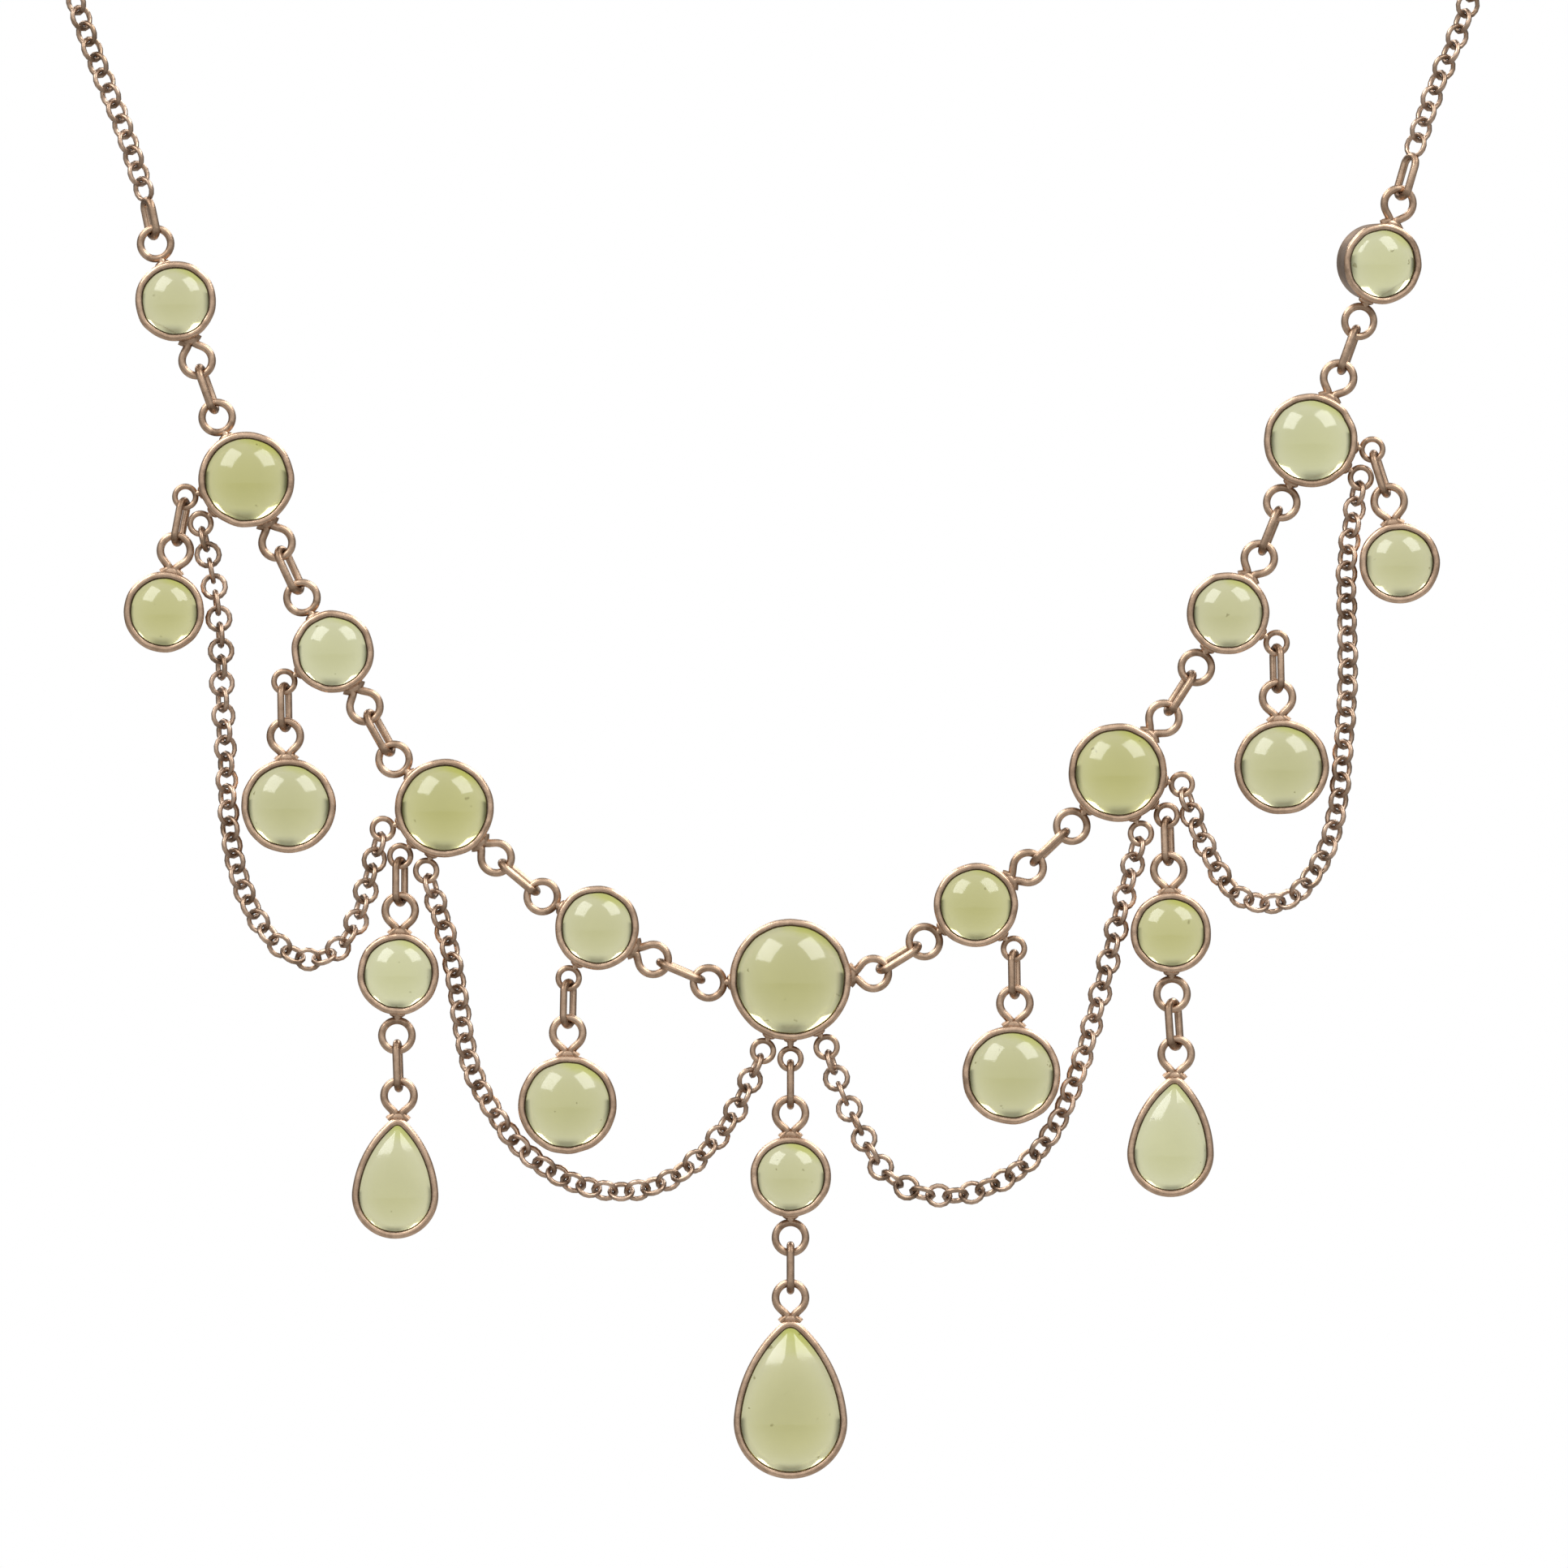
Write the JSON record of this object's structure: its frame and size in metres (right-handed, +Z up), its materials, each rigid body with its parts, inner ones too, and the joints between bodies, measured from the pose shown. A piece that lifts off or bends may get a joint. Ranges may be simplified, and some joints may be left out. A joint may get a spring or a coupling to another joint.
{
  "type": "festoon necklace",
  "caption": "Festoon necklace with round and pear drop cabochons in open gold collets, hung with chain swags on a fine cable chain.",
  "frame": {"origin": "on the front of the clasp, where the necklace lies on the nape of the neck", "axes": "+Z up, -Y towards the front where the festoon hangs, +X towards the wearer's left"},
  "size_m": [0.1136, 0.0928, 0.1368],
  "materials": {
    "gold": "polished, aged rose gold",
    "chain_gold": "worn rose gold",
    "cabochons": "polished, pale yellow-green"
  },
  "bodies": {
    "necklace": {"setting_centre": "gold", "stone_centre": "cabochons", "setting_left_1": "gold", "stone_left_1": "cabochons", "setting_left_2": "gold", "stone_left_2": "cabochons", "setting_left_3": "gold", "stone_left_3": "cabochons", "setting_left_4": "gold", "stone_left_4": "cabochons", "setting_left_5": "gold", "stone_left_5": "cabochons", "setting_right_1": "gold", "stone_right_1": "cabochons", "setting_right_2": "gold", "stone_right_2": "cabochons", "setting_right_3": "gold", "stone_right_3": "cabochons", "setting_right_4": "gold", "stone_right_4": "cabochons", "setting_right_5": "gold", "stone_right_5": "cabochons", "drop_setting_left_1": "gold", "drop_stone_left_1": "cabochons", "drop_setting_left_2": "gold", "drop_stone_left_2": "cabochons", "drop_setting_left_3": "gold", "drop_stone_left_3": "cabochons", "drop_setting_left_4": "gold", "drop_stone_left_4": "cabochons", "drop_setting_right_1": "gold", "drop_stone_right_1": "cabochons", "drop_setting_right_2": "gold", "drop_stone_right_2": "cabochons", "drop_setting_right_3": "gold", "drop_stone_right_3": "cabochons", "drop_setting_right_4": "gold", "drop_stone_right_4": "cabochons", "pear_setting_left": "gold", "pear_stone_left": "cabochons", "pear_setting_right": "gold", "pear_stone_right": "cabochons", "row_links": "gold", "drop_links": "gold", "end_links": "gold", "outer_swag_left": "chain_gold", "inner_swag_left": "chain_gold", "outer_swag_right": "chain_gold", "inner_swag_right": "chain_gold", "neck_chain_left": "chain_gold", "neck_chain_right": "chain_gold", "clasp": "gold"},
    "centre_drop_link": {"drop_link_centre": "gold"},
    "centre_drop": {"drop_setting_centre": "gold", "drop_stone_centre": "cabochons"},
    "centre_pear_link": {"pear_link_centre": "gold"},
    "centre_pear": {"pear_setting_centre": "gold", "pear_stone_centre": "cabochons"}
  },
  "joints": [
    {"name": "centre_drop_front_swing", "type": "hinge", "parent": "necklace", "child": "centre_drop_link", "pos_m": [0, -0.086, -0.10455], "axis": [1, 0, 0], "range_deg": [-80, 80]},
    {"name": "centre_drop_side_swing", "type": "hinge", "parent": "centre_drop_link", "child": "centre_drop", "pos_m": [0, -0.086, -0.10729], "axis": [0, 1, 0], "range_deg": [-20, 20]},
    {"name": "centre_pear_front_swing", "type": "hinge", "parent": "centre_drop", "child": "centre_pear_link", "pos_m": [0, -0.086, -0.11812], "axis": [1, 0, 0], "range_deg": [-75, 75]},
    {"name": "centre_pear_side_swing", "type": "hinge", "parent": "centre_pear_link", "child": "centre_pear", "pos_m": [0, -0.086, -0.12094], "axis": [0, 1, 0], "range_deg": [-30, 30]}
  ]
}
